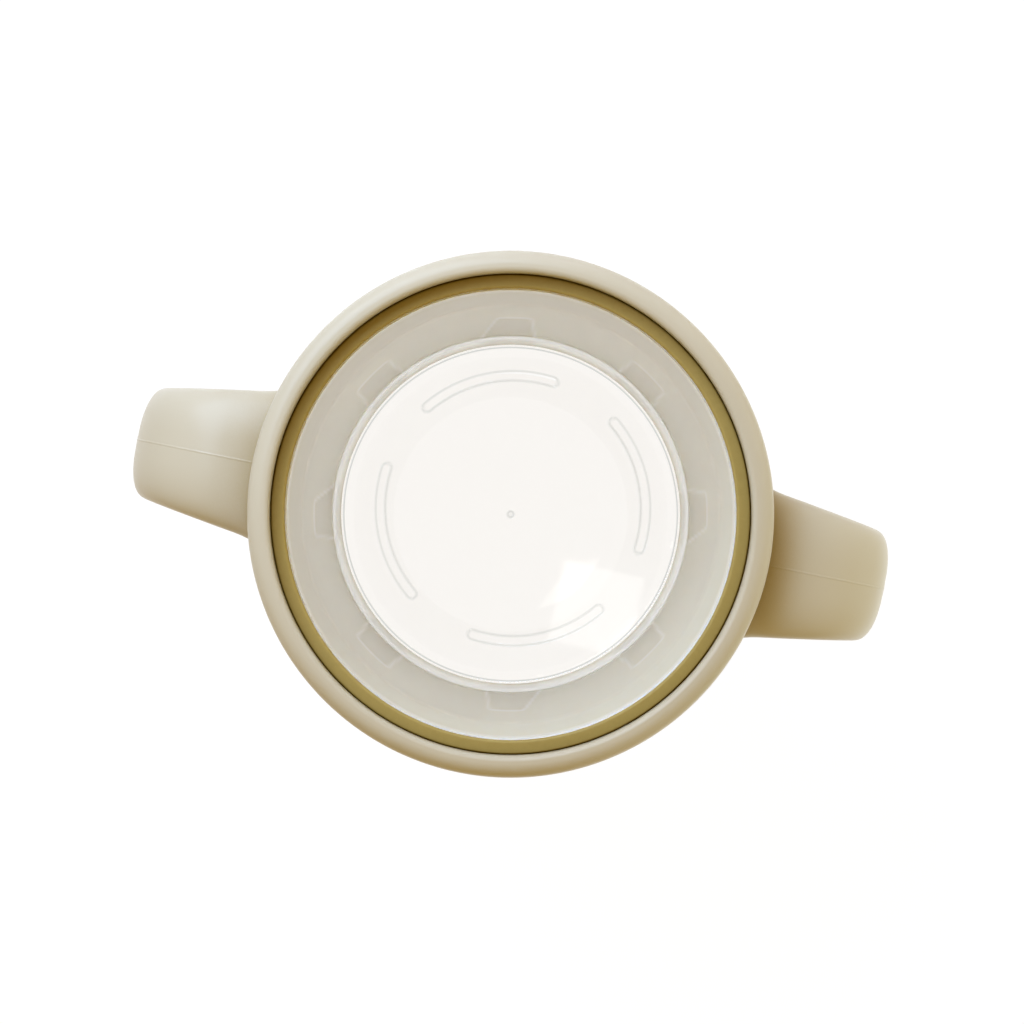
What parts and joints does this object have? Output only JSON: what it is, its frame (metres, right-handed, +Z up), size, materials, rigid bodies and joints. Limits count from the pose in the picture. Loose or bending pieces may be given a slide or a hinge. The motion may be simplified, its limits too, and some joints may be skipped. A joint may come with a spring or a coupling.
{
  "type": "training cup",
  "caption": "Open training cup with a tapered translucent wall and clear base, a seal, a screw-on round drinking lip and a turning ring with strap handles.",
  "frame": {"origin": "middle of the flat ring that the cup stands on", "axes": "+Z up along the cup's axis, +X along one handle, +Y across the handles"},
  "size_m": [0.1182, 0.08, 0.0908],
  "materials": {
    "cup_plastic": "hazy translucent wall, clear polished base",
    "seal_silicone": "matt silicone",
    "collar_plastic": "satin moulded beige",
    "handle_plastic": "satin moulded beige"
  },
  "bodies": {
    "cup": {"cup_body": "cup_plastic"},
    "seal": {"seal_ring": "seal_silicone"},
    "collar": {"lip_collar": "collar_plastic"},
    "handles": {"handle_ring": "handle_plastic"}
  },
  "joints": [
    {"name": "collar_rise", "type": "slide", "parent": "cup", "child": "seal", "axis": [0, 0, 1], "range_m": [0, 0.00312]},
    {"name": "collar_turn", "type": "hinge", "parent": "seal", "child": "collar", "pos_m": [0, 0, 0.08], "axis": [0, 0, 1], "range_deg": [0, 140]},
    {"name": "handle_turn", "type": "hinge", "parent": "cup", "child": "handles", "pos_m": [0, 0, 0.075], "axis": [0, 0, 1], "continuous": true}
  ],
  "couplings": [
    {"joint": "collar_rise", "follows": "collar_turn", "m_per_rad": 0.0012732}
  ]
}
